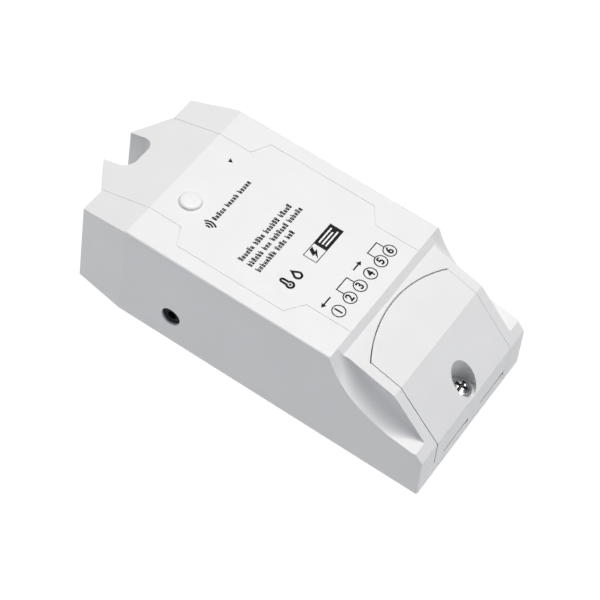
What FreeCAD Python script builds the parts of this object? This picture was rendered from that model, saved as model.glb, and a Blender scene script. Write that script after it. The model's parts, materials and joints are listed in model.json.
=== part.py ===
import FreeCAD, Part
import Sketcher
import os
import re

Vector = FreeCAD.Vector
Rotation = FreeCAD.Rotation

# Driving sizes in millimetres. +X points to the cable end, -X to the notch, +Z up.
SIZES = [
    # Overall case
    ("case_length", 114.0), ("case_height", 32.0),
    ("wall", 2.0), ("floor_wall", 1.6), ("plate", 2.0), ("seam", 0.15),
    # Notched end
    ("slope_run", 21.1), ("tip_height", 25.7), ("tongue_length", 6.6),
    ("tongue_tip", 12.3), ("shoulder_inset", 2.4),
    ("notch_width", 11.6), ("notch_depth", 7.9), ("notch_round", 3.5),
    ("flange_wall", 3.0), ("slot_width", 4.4), ("slot_depth", 5.6), ("skirt_gap", 0.2),
    # Terminal end
    ("terminal_end", 31.6), ("step_run", 1.7), ("step_drop", 1.85), ("hump_margin", 3.05),
    ("scoop_width", 4.6),
    ("nose_run", 14.4), ("platform_height", 25.9), ("brow_height", 12.9), ("front_draft", 1.0),
    ("knee_back", 23.7), ("knee_height", 18.3), ("toe_back", 3.5), ("ear_height", 15.25),
    ("knee_round", 27.3), ("toe_round", 6.0), ("corner_round", 0.6), ("edge_round", 0.7),
    ("brow_round", 1.2), ("root_round", 4.4), ("over", 5.0),
    # Inlaid top cover
    ("inlay_narrow", 31.4), ("inlay_margin", 4.8), ("inlay_end", 32.0),
    ("inlay_flare", 33.5), ("inlay_flare_run", 2.6), ("inlay_neck", 44.8), ("inlay_neck_run", 3.5),
    ("ledge", 1.5), ("hook_width", 6.0), ("hook_wall", 1.2), ("hook_reach", 0.8),
    ("hook_gap", 0.1), ("hook_inset", 8.5),
    # Terminal cover and its screw
    ("lid_gap", 0.4), ("lid_seat", 0.2), ("arch_radius", 35.3),
    ("arch_back", 28.9), ("seat_ledge", 1.2), ("screw_back", 5.2), ("cup_radius", 3.8),
    ("cup_wall", 1.4), ("cup_floor", 11.6), ("cup_base", 2.6),
    ("screw_head_radius", 3.0), ("screw_head_height", 2.2), ("screw_radius", 1.5),
    ("screw_reach", 7.6), ("thread_clearance", 0.06), ("boss_radius", 3.2), ("cross_width", 0.9),
    ("cross_length", 3.6), ("cross_depth", 1.2),
    ("slot_middle", 1.75), ("slot_web", 6.2), ("cable_width", 12.2), ("cable_top", 5.1),
    ("sill", 0.8), ("channel_back", 10.5),
    # Circuit board and its posts
    ("board_wall", 1.6), ("board_height", 5.4), ("board_margin", 2.5), ("board_start", 12.5),
    ("board_end", 14.5), ("post_radius", 3.0), ("post_inset", 4.0), ("post_far", 32.0),
    ("pilot_radius", 1.25), ("board_screw_radius", 1.2), ("board_head_radius", 2.3),
    ("board_head_height", 1.4), ("board_screw_length", 4.8), ("board_corner", 3.0),
    # Power button and tact switch
    ("button_back", 28.1), ("button_side", -7.5), ("button_radius", 3.15), ("button_gap", 0.2),
    ("button_rise", 0.8), ("button_dome", 0.9), ("button_skirt", 4.1), ("button_skirt_height", 3.0),
    ("button_rest_gap", 0.15), ("stem_radius", 1.5), ("sleeve_gap", 0.3), ("sleeve_wall", 1.2),
    ("sleeve_depth", 6.0), ("button_travel", 0.4), ("contact_gap", 0.05),
    ("switch_side", 6.0), ("switch_height", 3.5), ("plunger_radius", 1.75), ("plunger_rise", 1.5),
    ("plunger_depth", 1.0), ("plunger_gap", 0.08),
    # Status light
    ("light_back", 28.3), ("light_side", 10.0), ("led_length", 3.5), ("led_width", 2.8),
    ("led_height", 1.2), ("pipe_radius", 1.25), ("pipe_gap", 0.05), ("pipe_wall", 1.0),
    ("pipe_skin", 0.6), ("pipe_collar", 4.0),
    # Sensor socket on the near side
    ("socket_back", 37.0), ("socket_height", 9.5), ("socket_hole", 2.8), ("socket_chamfer", 0.2),
    ("socket_nose", 2.7), ("socket_inset", 0.7), ("socket_bore", 1.28), ("socket_depth", 11.0),
    ("socket_width", 6.0), ("socket_body", 12.0), ("socket_tall", 5.0), ("socket_face", 0.6),
    ("tab_length", 1.2), ("tab_width", 0.9), ("tab_wall", 0.3),
    # Terminal block
    ("pitch", 5.0), ("block_length", 11.4), ("block_front", 14.0), ("block_height", 13.0),
    ("block_margin", 1.0), ("block_gap", 1.35), ("wire_radius", 1.6), ("wire_height", 3.5),
    ("chamber_wall", 1.2), ("chamber_length", 4.2), ("chamber_width", 4.0), ("push_width", 3.4),
    ("push_length", 3.6), ("push_gap", 0.3), ("push_rise", 1.2), ("push_travel", 1.3),
    ("push_height", 7.0), ("push_groove", 0.8), ("strip_wall", 0.7), ("strip_width", 2.8),
    ("strip_rise", 6.0), ("pin_side", 0.9), ("pin_hole", 0.8), ("pin_reach", 1.2),
    ("leaf_wall", 0.35), ("leaf_reach", 1.9),
    # Partition between the terminals and the electronics
    ("partition_back", 27.8), ("partition_wall", 1.5), ("partition_lift", 1.0),
    # Relay
    ("relay_length", 29.0), ("relay_width", 12.7), ("relay_height", 15.7), ("relay_front", 36.0),
    ("relay_side", 14.3),
    # Transformer
    ("core_length", 13.0), ("core_width", 12.6), ("core_height", 12.0), ("core_front", 42.5),
    ("core_side", -1.5), ("core_leg", 2.6), ("core_depth", 6.2), ("coil_round", 1.5),
    ("base_lift", 1.6),
    # Other components: radius, height and place
    ("bulk_radius", 4.0), ("bulk_height", 12.0), ("bulk_front", 43.5), ("bulk_side", -15.0),
    ("bulk_pitch", 9.0), ("can_round", 0.5), ("output_radius", 3.2), ("output_height", 9.0),
    ("output_front", 70.0), ("output_side", 14.0),
    ("varistor_radius", 5.0), ("varistor_wall", 3.8), ("varistor_front", 31.5),
    ("varistor_side", 0.5), ("varistor_lift", 1.0), ("lead_radius", 0.4),
    ("filter_length", 6.0), ("filter_width", 13.0), ("filter_height", 11.0),
    ("filter_front", 57.5), ("filter_side", -2.0),
    ("fuse_length", 4.0), ("fuse_width", 8.4), ("fuse_height", 8.0), ("fuse_front", 34.5),
    ("fuse_side", -9.2), ("inductor_radius", 3.4), ("inductor_waist", 2.3),
    ("inductor_height", 9.0), ("inductor_flange", 1.5), ("inductor_front", 67.7),
    ("inductor_side", -7.0),
    ("bridge_length", 6.4), ("bridge_width", 5.0), ("bridge_height", 2.6), ("bridge_front", 64.0),
    ("bridge_side", -0.3),
    ("chip_length", 5.0), ("chip_width", 4.0), ("chip_height", 1.5), ("lead_length", 1.0),
    ("lead_width", 0.5), ("lead_pitch", 1.27), ("driver_front", 65.5), ("driver_side", 6.3),
    ("flash_back", 18.5), ("flash_side", 1.5),
    ("radio_side", 5.0), ("radio_height", 0.9), ("radio_back", 26.0), ("radio_place", 1.5),
    ("regulator_length", 3.5), ("regulator_width", 6.5), ("regulator_height", 1.7),
    ("regulator_back", 21.0), ("regulator_side", 14.5),
    ("crystal_length", 3.2), ("crystal_width", 10.5), ("crystal_height", 3.4),
    ("crystal_back", 13.6), ("crystal_side", -2.0),
]

doc = FreeCAD.newDocument("humidity_controller")
sheet = doc.addObject("Spreadsheet::Sheet", "sizes")
for row, (alias, number) in enumerate(SIZES, start=1):
    sheet.set("A%d" % row, alias)
    sheet.set("B%d" % row, str(number))
    sheet.setAlias("B%d" % row, alias)
doc.recompute()


def size(alias):
    """Number that the sheet holds for one size."""
    return float(sheet.get(alias))


def linked(text):
    """Expression text with every size looked up in the sheet."""
    return re.sub(r"[a-z]\w*", lambda word: "sizes." + word.group(0), str(text))


def bind(item, field, text):
    item.setExpression(field, linked(text))


def place(item, x, y, z):
    """Bind the origin of an object's placement."""
    for letter, text in zip("xyz", (x, y, z)):
        bind(item, "Placement.Base." + letter, text)


# Solids that the sub-parts are built from

def box(name, x, y, z):
    """Block between two values on each axis."""
    item = doc.addObject("Part::Box", name)
    for field, (low, high) in zip(("Length", "Width", "Height"), (x, y, z)):
        bind(item, field, "(%s) - (%s)" % (high, low))
    place(item, x[0], y[0], z[0])
    return item


TURNS = {"x": Rotation(Vector(0, 1, 0), 90), "y": Rotation(Vector(1, 0, 0), -90), "z": Rotation()}


def rod(name, start, radius, length, along="z"):
    """Round bar from a start point, along +X, +Y or +Z."""
    item = doc.addObject("Part::Cylinder", name)
    item.Placement = FreeCAD.Placement(Vector(), TURNS[along])
    bind(item, "Radius", radius)
    bind(item, "Height", length)
    place(item, *start)
    return item


def cone(name, start, radius_low, radius_high, length, along="z"):
    item = doc.addObject("Part::Cone", name)
    item.Placement = FreeCAD.Placement(Vector(), TURNS[along])
    bind(item, "Radius1", radius_low)
    bind(item, "Radius2", radius_high)
    bind(item, "Height", length)
    place(item, *start)
    return item


def fuse(name, *items):
    item = doc.addObject("Part::MultiFuse", name)
    item.Shapes = list(items)
    item.Refine = True
    return item


def cut(name, base, *tools):
    """Base less one or more tools."""
    item = doc.addObject("Part::Cut", name)
    item.Base = base
    item.Tool = tools[0] if len(tools) == 1 else fuse(name + "_tools", *tools)
    item.Refine = True
    return item


def common(name, *items):
    item = doc.addObject("Part::MultiCommon", name)
    item.Shapes = list(items)
    item.Refine = True
    return item


def outline_sketch(body, name, plane, corners, offset):
    """Closed outline on an origin plane, each corner bound to the sheet."""
    sketch = body.newObject("Sketcher::SketchObject", name)
    origin = [item for item in body.Origin.OriginFeatures if item.Role == plane]
    sketch.AttachmentSupport = [(origin[0], "")]
    sketch.MapMode = "FlatFace"
    bind(sketch, "AttachmentOffset.Base.z", offset)
    count = len(corners)
    for index in range(count):
        sketch.addGeometry(Part.LineSegment(Vector(index, index * index, 0),
                                            Vector(index + 1, (index + 1) ** 2, 0)))
    for index in range(count):
        sketch.addConstraint(Sketcher.Constraint("Coincident", index, 2, (index + 1) % count, 1))
    for index, corner in enumerate(corners):
        for kind, text in zip(("DistanceX", "DistanceY"), corner):
            number = sketch.addConstraint(Sketcher.Constraint(kind, -1, 1, index, 1, 1.0))
            sketch.setExpression("Constraints[%d]" % number, linked(text))
    return sketch


def new_body(name):
    return doc.addObject("PartDesign::Body", name)


def pad(body, sketch, length, symmetric=False):
    feature = body.newObject("PartDesign::Pad", body.Name + "_pad")
    feature.Profile = sketch
    feature.SideType = "Symmetric" if symmetric else "One side"
    bind(feature, "Length", length)
    return feature


def pocket(body, sketch, length):
    """Pocket along the sketch's normal, on both sides of its plane."""
    feature = body.newObject("PartDesign::Pocket", body.Name + "_pocket")
    feature.Profile = sketch
    feature.SideType = "Symmetric"
    bind(feature, "Length", length)
    return feature


def side_prism(name, corners, width):
    """Outline in X and Z, padded to both sides of the middle plane."""
    body = new_body(name)
    pad(body, outline_sketch(body, name + "_side", "XZ_Plane", corners, "0"), width, True)
    return body


def plan_prism(name, corners, low, high):
    """Outline in X and Y, padded from one height to another."""
    body = new_body(name)
    sketch = outline_sketch(body, name + "_plan", "XY_Plane", corners, low)
    pad(body, sketch, "(%s) - (%s)" % (high, low))
    return body


def mirrored(corners):
    """Outline in plan that is the same on both sides of the X axis."""
    return corners + [(x, "-(%s)" % y) for x, y in reversed(corners)]


def turned(name, corners, x, y):
    """Solid of revolution about a vertical axis, from corners in radius and height."""
    body = new_body(name)
    sketch = outline_sketch(body, name + "_half", "XZ_Plane", corners, "0")
    feature = body.newObject("PartDesign::Revolution", name + "_turn")
    feature.Profile = sketch
    feature.ReferenceAxis = (sketch, ["V_Axis"])
    feature.Angle = 360.0
    place(body, x, y, "0")
    return body


def edges_at(shape, spot, along=None, reach=0.05):
    """Names of the edges that pass through a place in X and Z, or that point in 3-D."""
    found = []
    for number, edge in enumerate(shape.Edges, start=1):
        ends = [vertex.Point for vertex in edge.Vertexes]
        if len(ends) < 2:
            continue
        direction = ends[1] - ends[0]
        if along is not None and direction.getAngle(along) > 0.02 and \
                direction.getAngle(along * -1) > 0.02:
            continue
        if all(abs(end.x - spot.x) < reach and abs(end.z - spot.z) < reach for end in ends):
            found.append("Edge%d" % number)
    return found


def round_edges(body, names, radius):
    """Fillet on the body's newest feature."""
    feature = body.newObject("PartDesign::Fillet", body.Name + "_round")
    feature.Base = (body.Tip if body.Tip is not feature else body.Group[-2], names)
    bind(feature, "Radius", radius)
    doc.recompute()
    return feature


parts = []


def keep(name, item):
    """Register a finished sub-part under its node's name."""
    item.Label = name
    parts.append(item)
    return item


# Places that several sub-parts share, as expressions
FRONT = "case_length / 2"
TIP = "-case_length / 2"
CREASE = TIP + " + slope_run"
SHOULDER = TIP + " + tongue_length"
TOP_END = FRONT + " - terminal_end"
STEP_END = TOP_END + " + step_run"
STEP_FOOT = "case_height - step_drop"
NOSE = FRONT + " - nose_run"
BROW = FRONT + " - front_draft"
SHOULDER_TOP = "tip_height + (case_height - tip_height) * tongue_length / slope_run"
INNER_TOP = "case_height - plate"
BOARD_TOP = "board_height + board_wall"
LID_BOTTOM = "floor_wall + lid_seat"
HOLLOW = "(3 * pitch + block_margin + block_gap)"
LID_HALF = "(" + HOLLOW + " + seat_ledge - lid_gap / 2)"
HUMP = "(" + LID_HALF + " + hump_margin)"
HALF = "(" + HUMP + " + scoop_width)"
WIDTH = "2 * " + HALF
BOARD_HALF = "(" + HALF + " - wall - board_margin)"
INLAY_HALF = "(" + HALF + " - inlay_margin)"
SHOULDER_HALF = "(" + HALF + " - shoulder_inset)"
SLOTS = (("near", "(slot_middle - slot_web / 2 - cable_width / 2)"),
         ("far", "(slot_middle + slot_web / 2 + cable_width / 2)"))


def surface_line(drop, back):
    """Corners of the outer skin over the terminals, moved in by a wall."""
    return [
        (STEP_END + " - (%s) / 2" % back, STEP_FOOT + " - (%s)" % drop),
        (NOSE + " - (%s) / 2" % back, "platform_height - (%s)" % drop),
        (BROW + " - (%s)" % back, "brow_height - (%s) / 2" % drop),
    ]


def front_at(height, back):
    """X of the leaning front face at a height, moved in by a wall."""
    return "%s - front_draft * (%s) / brow_height - (%s)" % (FRONT, height, back)


# Base case: floor, side walls, margins of the top, cable end with its two scooped sides

def scoop(name, side):
    """Hollow beside the terminal hump. The rounding at its root fades out towards the flat ear."""
    offset = HUMP if side == "near" else "-(%s + over)" % HALF
    start = TOP_END + " - over * (terminal_end - knee_back) / (case_height - knee_height)"
    line = [(start, "case_height + over"), (FRONT + " - knee_back", "knee_height"),
            (FRONT + " - toe_back", "ear_height"), (FRONT + " + over", "ear_height"),
            (FRONT + " + over", "case_height + over")]
    body = new_body(name)
    sketch = outline_sketch(body, name + "_side", "XZ_Plane", line, offset)
    pad(body, sketch, "scoop_width + over")
    doc.recompute()
    corners = [sketch.Placement.multVec(item.StartPoint) for item in sketch.Geometry]
    across = Vector(0, 1, 0)
    round_edges(body, edges_at(body.Shape, corners[1], across), "knee_round")
    round_edges(body, edges_at(body.Shape, corners[2], across), "toe_round")
    root_y = body.Shape.BoundBox.YMax if side == "near" else body.Shape.BoundBox.YMin
    chain = []
    for number, edge in enumerate(body.Shape.Edges, start=1):
        middle = edge.valueAt((edge.FirstParameter + edge.LastParameter) / 2)
        low = middle.z < size("case_height") + size("over") - 0.5
        if abs(middle.y - root_y) < 0.01 and low and middle.x < corners[3].x - 0.5:
            ends = sorted([edge.valueAt(edge.FirstParameter), edge.valueAt(edge.LastParameter)],
                          key=lambda point: point.x)
            if ends[1].x - ends[0].x > 0.5:
                chain.append((ends[0].x, number, edge))
    chain.sort(key=lambda row: row[0])
    root_shares = [0.1, 0.4, 1.0, 0.12, 0.08, 0.04]
    rows = []
    for (first, number, edge), low, high in zip(chain, root_shares, root_shares[1:]):
        radii = [size("root_round") * low, size("root_round") * high]
        if edge.valueAt(edge.FirstParameter).x > first + 0.01:
            radii.reverse()
        rows.append((number, radii[0], radii[1]))
    rounded = doc.addObject("Part::Fillet", name + "_root")
    rounded.Base = body
    rounded.Edges = rows
    return rounded


def make_outer():
    """Closed outer form of the case: leaning front, tapered notch end, scooped sides."""
    body = new_body("case_block")
    profile = [(SHOULDER, "0"), (SHOULDER, SHOULDER_TOP), (CREASE, "case_height"),
               (TOP_END, "case_height")] + surface_line("0", "0") + [(FRONT, "0")]
    pad(body, outline_sketch(body, "case_side", "XZ_Plane", profile, "0"), WIDTH, True)
    for sign in ("", "-"):
        taper = [(SHOULDER + " - 1", sign + SHOULDER_HALF), (SHOULDER, sign + SHOULDER_HALF),
                 (CREASE, sign + HALF), (CREASE, sign + "(%s + 1)" % HALF),
                 (SHOULDER + " - 1", sign + "(%s + 1)" % HALF)]
        pocket(body, outline_sketch(body, "taper_plan", "XY_Plane", taper, "0"), "case_height * 3")
    doc.recompute()
    brow = Vector(size("case_length") / 2 - size("front_draft"), 0, size("brow_height"))
    round_edges(body, edges_at(body.Shape, brow, Vector(0, 1, 0)), "brow_round")
    side = body.Shape.BoundBox.YMax - 0.01
    nose = size("case_length") / 2 - size("nose_run") - 0.01
    corner = ["Edge%d" % number for number, edge in enumerate(body.Shape.Edges, start=1)
              if all(spot.Point.x > nose for spot in edge.Vertexes)
              and abs(edge.CenterOfMass.y) > side and edge.CenterOfMass.z > 1]
    round_edges(body, corner, "corner_round")
    crown = new_body("case_crown")
    section = [("-" + HALF, "0"), (HALF, "0"), (HALF, "case_height"), ("-" + HALF, "case_height")]
    pad(crown, outline_sketch(crown, "crown_section", "YZ_Plane", section, "0"),
        "case_length + over", True)
    doc.recompute()
    upper = ["Edge%d" % number for number, edge in enumerate(crown.Shape.Edges, start=1)
             if edge.CenterOfMass.z > size("case_height") - 0.01
             and edge.Length > size("case_length")]
    round_edges(crown, upper, "edge_round")
    blank = common("case_blank", body, crown)
    return cut("case_outer", blank, scoop("near_scoop", "near"), scoop("far_scoop", "far"))


def lid_plan(name, shrink, low, high):
    """Arched outline of the terminal cover in plan."""
    half = LID_HALF + " - (%s)" % shrink
    back = "%s - arch_back + (%s)" % (FRONT, shrink)
    plate = box(name + "_block", (back, FRONT + " + 5"), ("-(%s)" % half, half), (low, high))
    arch = rod(name + "_arch", ("%s - arch_back + arch_radius" % FRONT, "0", low),
               "arch_radius - (%s)" % shrink, "(%s) - (%s)" % (high, low))
    return common(name, plate, arch)


def inlay_half(start, grow):
    """Upper half of the inlay outline from a start X, grown by a clearance."""
    narrow = "inlay_narrow / 2 + (%s)" % grow
    wide = INLAY_HALF + " + (%s)" % grow
    flare = TIP + " + inlay_flare"
    neck = FRONT + " - inlay_neck"
    return [(start, narrow),
            (flare + " - inlay_flare_run - (%s)" % grow, narrow),
            (flare + " - (%s)" % grow, wide),
            (neck + " - inlay_neck_run + (%s)" % grow, wide),
            (neck + " + (%s)" % grow, "inlay_end / 2 + (%s)" % grow),
            (TOP_END + " - seam / 2 + (%s)" % grow, "inlay_end / 2 + (%s)" % grow)]


SKIRT_INNER = TIP + " + notch_depth + plate * 0.9"


def make_base_case():
    outer = make_outer()
    taper_in = SHOULDER_HALF + " - wall"
    end_in = SHOULDER + " + wall"
    hollow_side = [(end_in, "floor_wall"), (end_in, SHOULDER_TOP + " - wall"),
                   (CREASE, "case_height - wall"), (TOP_END + " - wall / 4", "case_height - wall"),
                   (FRONT + " - knee_back - wall * 0.75", "knee_height - wall * 0.75"),
                   (FRONT + " - toe_back - wall / 4", "ear_height - wall"),
                   (BROW + " - wall", "ear_height - wall"),
                   (front_at("floor_wall", "wall"), "floor_wall")]
    hollow_plan = mirrored([(end_in, taper_in), (CREASE, HALF + " - wall"),
                            (FRONT, HALF + " - wall")])
    hollow_block = side_prism("hollow_side", hollow_side, WIDTH + " - 2 * wall")
    doc.recompute()
    knee = Vector(size("case_length") / 2 - size("knee_back") - size("wall") * 0.75, 0,
                  size("knee_height") - size("wall") * 0.75)
    knee_edges = edges_at(hollow_block.Shape, knee, Vector(0, 1, 0))
    round_edges(hollow_block, knee_edges, "knee_round * 0.8")
    hollow = common("case_hollow", hollow_block,
                    plan_prism("hollow_plan", hollow_plan, "0", "case_height"))
    over_terminals = [(TOP_END + " - wall", "floor_wall"), (TOP_END + " - wall", INNER_TOP),
                      (TOP_END + " - step_run / 4", INNER_TOP)] + surface_line("plate", "plate") + \
                     [(front_at("floor_wall", "plate"), "floor_wall")]
    hump_hollow = side_prism("hump_hollow", over_terminals, "2 * (%s)" % HOLLOW)
    opening = plan_prism("inlay_opening", mirrored(inlay_half(SHOULDER + " - 1", "seam / 2")),
                         "tip_height - plate * 2", "case_height + 1")
    end_window = box("end_window", (SHOULDER + " - 1", end_in + " + 0.5"),
                     ("-(inlay_narrow / 2 + seam / 2)", "inlay_narrow / 2 + seam / 2"),
                     ("flange_wall", "case_height"))
    shell = cut("case_shell", outer, hollow, hump_hollow, opening, end_window)

    lip_start = SKIRT_INNER + " + 0.5"
    lip_band = side_prism("lip_band", [
        (lip_start, "tip_height + (case_height - tip_height) * (notch_depth + plate * 0.9 + 0.5)"
                    " / slope_run - plate"),
        (CREASE, INNER_TOP), (TOP_END + " + ledge", INNER_TOP),
        (TOP_END + " + ledge", INNER_TOP + " - wall"), (CREASE, INNER_TOP + " - wall"),
        (lip_start, "tip_height + (case_height - tip_height) * (notch_depth + plate * 0.9 + 0.5)"
                    " / slope_run - plate - wall")], WIDTH + " - wall")
    lip_out = plan_prism("lip_outside", mirrored(inlay_half(lip_start, "ledge")),
                         "wall", "case_height")
    lip_in = plan_prism("lip_inside", mirrored(inlay_half(lip_start + " - 1", "-ledge")),
                        "0", "case_height + 1")
    lip = cut("cover_lip", common("lip_ring", lip_band, lip_out), lip_in)

    flange_plan = mirrored([(TIP, "tongue_tip / 2"), (SHOULDER, "inlay_narrow / 2"),
                            (SHOULDER + " + wall + 1", "inlay_narrow / 2")])
    flange = plan_prism("mounting_flange", flange_plan, "0", "flange_wall")

    posts = []
    pilots = []
    for x in (TIP + " + board_start + post_inset", FRONT + " - post_far"):
        for sign in ("-", ""):
            y = sign + "(%s - post_inset)" % BOARD_HALF
            posts.append(rod("board_post", (x, y, "floor_wall / 2"), "post_radius",
                             "board_height - floor_wall / 2"))
            pilots.append(rod("board_pilot", (x, y, "floor_wall"), "pilot_radius", "board_height"))
    screw_x = FRONT + " - screw_back"
    boss_top = "cup_floor - cup_base - lid_seat"
    boss = rod("screw_boss", (screw_x, "0", "floor_wall / 2"), "boss_radius",
               boss_top + " - floor_wall / 2")
    boss_hole = rod("screw_boss_hole", (screw_x, "0", "floor_wall"),
                    "screw_radius + thread_clearance", "case_height")
    wall_x = FRONT + " - partition_back"
    partition = box("partition", (wall_x, wall_x + " + partition_wall"),
                    ("1 - " + HUMP, HUMP + " - 1"),
                    (BOARD_TOP + " + partition_lift", "knee_height"))
    partition_top = common("partition_top", box(
        "partition_head", (wall_x, wall_x + " + partition_wall"),
        ("-(%s) - 0.5" % HOLLOW, HOLLOW + " + 0.5"), ("knee_height - 1", "case_height")), outer)
    partition_low = common("partition_low", partition, box(
        "partition_bound", (wall_x, wall_x + " + partition_wall"),
        ("-(%s) - 0.5" % HOLLOW, HOLLOW + " + 0.5"), ("0", "case_height")))

    slot = box("screw_slot", (TIP + " - 1", TIP + " + slot_depth"),
               ("-slot_width / 2", "slot_width / 2"), ("-1", "flange_wall + 1"))
    slot_end = rod("screw_slot_end", (TIP + " + slot_depth", "0", "-1"), "slot_width / 2",
                   "flange_wall + 2")
    recess_side = surface_line("plate + lid_seat", "plate + lid_seat") + [
        (front_at(LID_BOTTOM, "plate + lid_seat"), LID_BOTTOM.replace("+ lid_seat", "")),
        (FRONT + " + 5", "floor_wall"), (FRONT + " + 5", "case_height + 5"),
        (STEP_END + " - plate / 2", "case_height + 5")]
    recess = common("lid_recess", side_prism("recess_side", recess_side, WIDTH),
                    lid_plan("recess_plan", "-lid_gap / 2", "0", "case_height + 5"))
    channels = []
    for name, middle in SLOTS:
        channels.append(box(name + "_channel", (FRONT + " - channel_back", FRONT + " + 1"),
                            (middle + " - cable_width / 2", middle + " + cable_width / 2"),
                            ("sill", "floor_wall + 1")))
    socket_x = TIP + " + socket_back"
    side_hole = rod("socket_hole", (socket_x, "-%s - 1" % HALF, "socket_height"),
                    "socket_hole", "wall + 2", "y")
    side_chamfer = cone("socket_hole_edge", (socket_x, "-" + HALF, "socket_height"),
                        "socket_hole + socket_chamfer", "socket_hole", "socket_chamfer", "y")
    whole = fuse("case_whole", shell, lip, flange, boss, partition_top, partition_low, *posts)
    return keep("base_case", cut("base_case", whole, recess, slot, slot_end, boss_hole, side_hole,
                                 side_chamfer, *(channels + pilots)))


# Inlaid top cover with the notch, the button's sleeve, the light's collar and snap hooks

BUTTON_X = TIP + " + button_back"
LIGHT_X = TIP + " + light_back"


def make_top_cover():
    grow = "-seam / 2"
    half = inlay_half(SHOULDER, grow)
    outline = mirrored([(TIP, "tongue_tip / 2"), (SHOULDER, "inlay_narrow / 2")] + half)
    skin = side_prism("cover_skin", [
        (TIP, "tip_height"), (CREASE, "case_height"), (TOP_END, "case_height"),
        (TOP_END, INNER_TOP), (CREASE, INNER_TOP), (TIP, "tip_height - plate")], WIDTH)
    plate = common("cover_plate", skin, plan_prism("cover_plan", outline, "1", "case_height + 1"))

    inside = SKIRT_INNER
    edge = "inlay_narrow / 2 - seam / 2"
    tongue_plan = mirrored([(TIP, "tongue_tip / 2"), (SHOULDER, edge), (inside, edge)])
    tongue = common("tongue_block", plan_prism("tongue_plan", tongue_plan,
                                               "flange_wall + skirt_gap", "case_height"),
                    side_prism("tongue_side", [
                        (TIP, "0"), (TIP, "tip_height - plate / 2"),
                        (CREASE, "case_height - plate / 2"), (CREASE, "0")], WIDTH))
    skirt = "plate * 0.9"
    pockets = []
    for sign in ("", "-"):
        room = [(inside + " + 1", sign + "(%s - %s)" % (edge, skirt)),
                (SHOULDER, sign + "(%s - %s)" % (edge, skirt)),
                (TIP + " + %s * 1.5" % skirt, sign + "(notch_width / 2 + %s + 1)" % skirt),
                (TIP + " + %s * 1.5" % skirt, sign + "(notch_width / 2 + %s)" % skirt),
                (inside + " + 1", sign + "(notch_width / 2 + %s)" % skirt)]
        pockets.append(plan_prism("tongue_room", room, "0", "tip_height - plate"))

    notch = new_body("notch")
    cutter = mirrored([(TIP + " - 1", "notch_width / 2"),
                       (TIP + " + notch_depth", "notch_width / 2")])
    pad(notch, outline_sketch(notch, "notch_plan", "XY_Plane", cutter, "0"), "case_height + 1")
    doc.recompute()
    inner_corners = edges_upright(notch.Shape, size("notch_depth") - size("case_length") / 2)
    round_edges(notch, inner_corners, "notch_round")

    sleeve = rod("button_sleeve", (BUTTON_X, "button_side", INNER_TOP + " - sleeve_depth"),
                 "button_skirt + sleeve_gap + sleeve_wall", "sleeve_depth + plate / 2")
    sleeve_room = rod("sleeve_room", (BUTTON_X, "button_side", INNER_TOP + " - sleeve_depth - 1"),
                      "button_skirt + sleeve_gap", "sleeve_depth + 1")
    button_hole = rod("button_hole", (BUTTON_X, "button_side", INNER_TOP + " - 1"),
                      "button_radius + button_gap", "plate + 2")
    collar = rod("light_collar", (LIGHT_X, "light_side", INNER_TOP + " - pipe_collar"),
                 "pipe_radius + pipe_gap + pipe_wall", "pipe_collar + plate / 2")
    collar_room = rod("collar_room", (LIGHT_X, "light_side", INNER_TOP + " - pipe_collar - 1"),
                      "pipe_radius + pipe_gap", "pipe_collar + 1 + plate - pipe_skin")
    hooks = []
    for sign in (1, -1):
        for middle in (TIP + " + inlay_flare + hook_inset", FRONT + " - inlay_neck - inlay_neck_run"
                       " - hook_inset"):
            lip_edge = INLAY_HALF + " - ledge"
            arm = [lip_edge + " - hook_gap - hook_wall", lip_edge + " - hook_gap"]
            barb = [lip_edge + " - hook_gap - hook_wall / 2", lip_edge + " - hook_gap + hook_reach"]
            spans = []
            for low, high in (arm, barb):
                spans.append((low, high) if sign > 0 else ("-(%s)" % high, "-(%s)" % low))
            x = (middle + " - hook_width / 2", middle + " + hook_width / 2")
            foot = INNER_TOP + " - wall - hook_gap - hook_wall"
            hooks.append(box("hook_arm", x, spans[0], (foot, INNER_TOP + " + plate / 2")))
            hooks.append(box("hook_barb", x, spans[1], (foot, INNER_TOP + " - wall - hook_gap")))
    whole = fuse("cover_whole", plate, tongue, sleeve, collar, *hooks)
    return keep("top_cover", cut("top_cover", whole, notch, sleeve_room, button_hole, collar_room,
                                 *pockets))


def edges_upright(shape, x):
    """Names of the vertical edges at one X."""
    found = []
    for number, edge in enumerate(shape.Edges, start=1):
        ends = [vertex.Point for vertex in edge.Vertexes]
        if len(ends) == 2 and all(abs(end.x - x) < 0.01 for end in ends) and \
                abs(ends[0].z - ends[1].z) > 1:
            found.append("Edge%d" % number)
    return found


# Terminal cover: a bent plate with an arched end, a screw cup and two cable openings

SCREW_X = FRONT + " - screw_back"


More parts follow.
